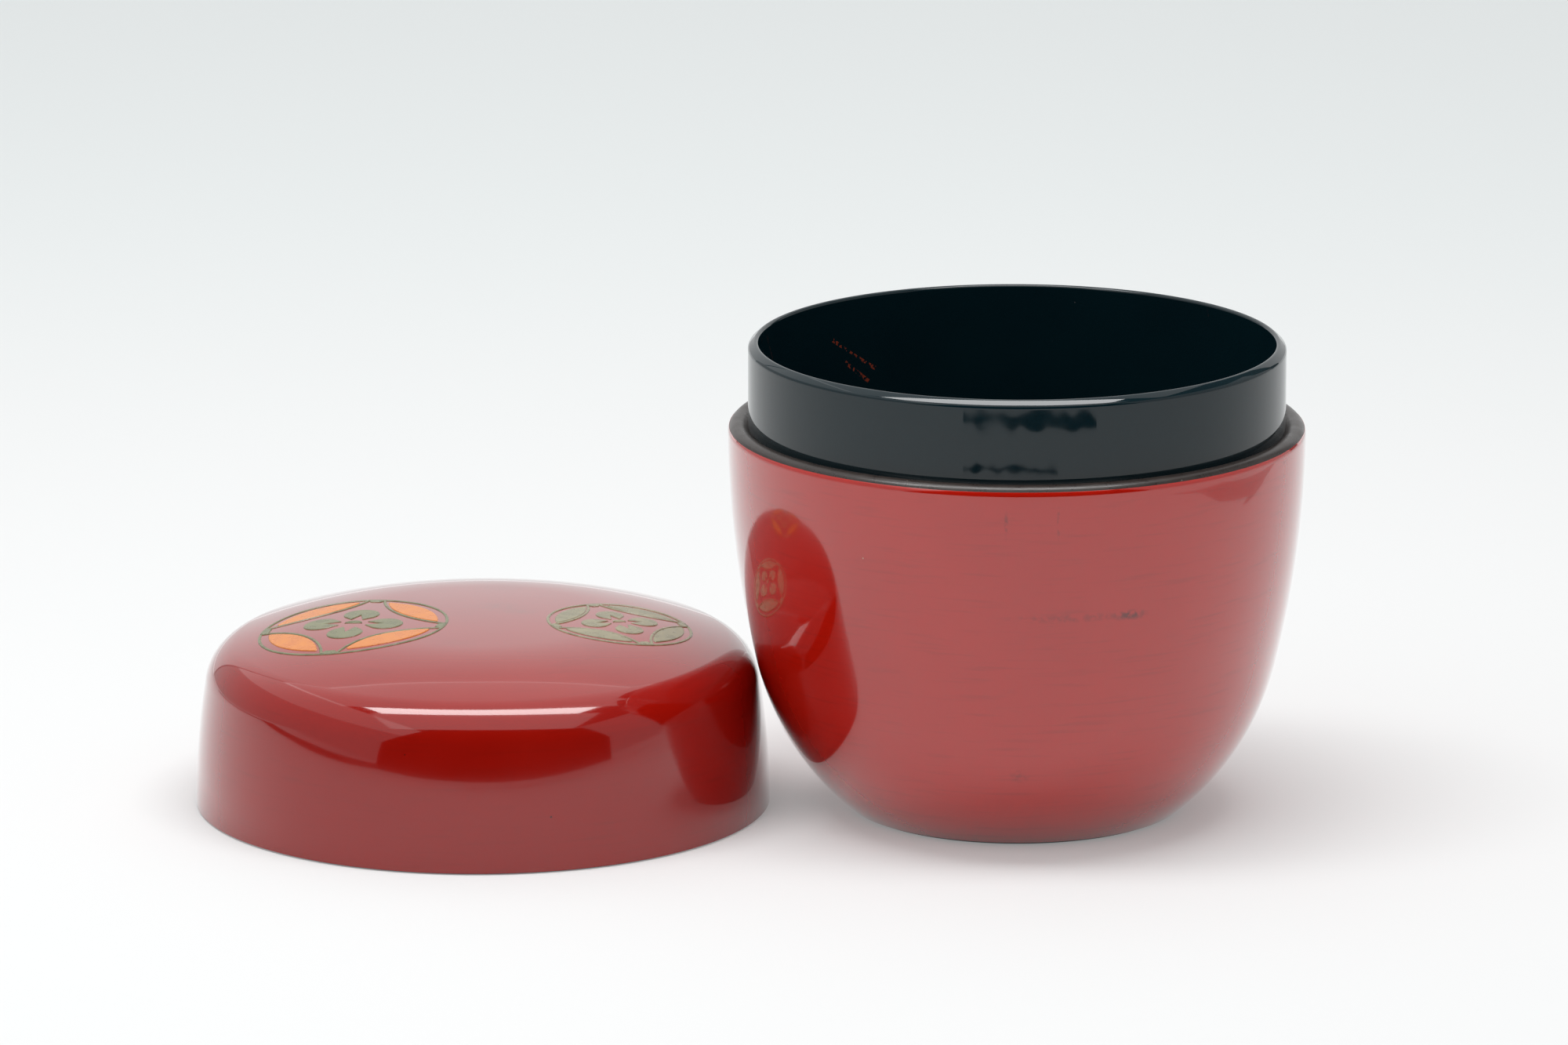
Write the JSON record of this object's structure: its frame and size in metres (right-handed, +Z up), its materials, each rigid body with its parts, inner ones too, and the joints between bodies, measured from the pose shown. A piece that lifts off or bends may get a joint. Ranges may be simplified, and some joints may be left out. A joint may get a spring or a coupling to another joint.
{
  "type": "lacquered tea caddy",
  "caption": "Round lacquered tea caddy, opened: a turned bowl with a raised black collar in its mouth, and a domed red lid with inlaid roundels lying beside it.",
  "frame": {"origin": "on the table, midway between the bowl's upright axis and the lid's", "axes": "+X from the lid's axis to the bowl's, +Y away from the viewer of the picture, +Z up"},
  "size_m": [0.135, 0.07, 0.0574],
  "materials": {
    "turned_core": "satin",
    "red_lacquer": "gloss",
    "black_lacquer": "gloss",
    "orange_lacquer": "gloss",
    "green_lacquer": "gloss"
  },
  "bodies": {
    "bowl": {"bowl_core": "turned_core", "bowl_red_lacquer": "red_lacquer", "bowl_black_lining": "black_lacquer", "base_black_lacquer": "black_lacquer", "collar_sleeve": "black_lacquer"},
    "lid": {"lid_core": "turned_core", "lid_red_lacquer": "red_lacquer", "lid_black_lining": "black_lacquer", "left_roundel_outline": "green_lacquer", "left_roundel_petals": "orange_lacquer", "left_roundel_flower": "green_lacquer", "right_roundel_outline": "green_lacquer", "right_roundel_petals": "green_lacquer", "right_roundel_flower": "green_lacquer"}
  },
  "joints": [
    {"name": "lid_lift", "type": "slide", "parent": "bowl", "child": "lid", "axis": [-0.5, 0, 0.866], "range_m": [0, 0.08]}
  ]
}
